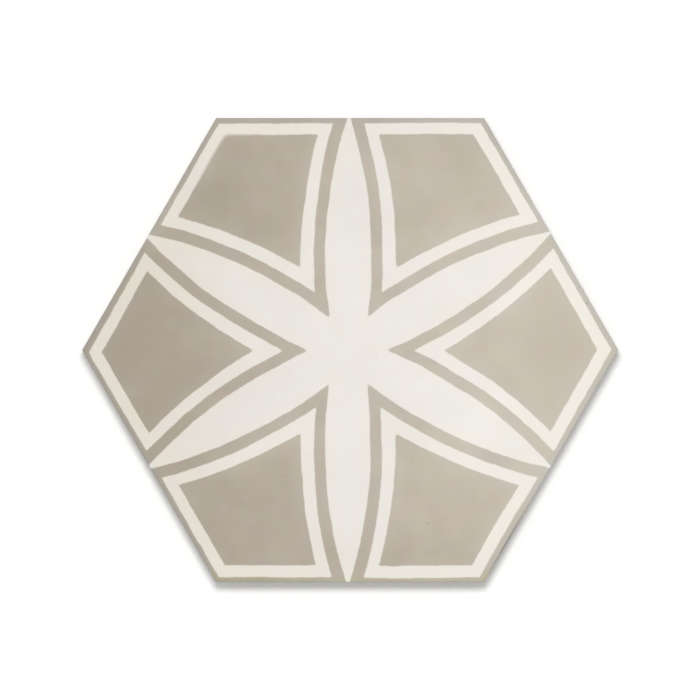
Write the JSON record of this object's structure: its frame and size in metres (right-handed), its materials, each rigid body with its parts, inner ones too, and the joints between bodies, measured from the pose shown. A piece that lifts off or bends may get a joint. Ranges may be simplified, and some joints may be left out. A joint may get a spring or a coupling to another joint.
{
  "type": "hexagon floor tile",
  "caption": "Flat hexagonal cement floor tile with a flush two-colour petal and kite-frame pattern on its face.",
  "frame": {"origin": "centre of the flat back, which lies on the bed", "axes": "+Z out of the patterned face, +X to a corner, +Y to the middle of a side"},
  "size_m": [0.231, 0.2, 0.016],
  "materials": {
    "pressed_cement": "matte"
  },
  "bodies": {
    "root": {"hexagon_tile": "pressed_cement"}
  },
  "joints": []
}
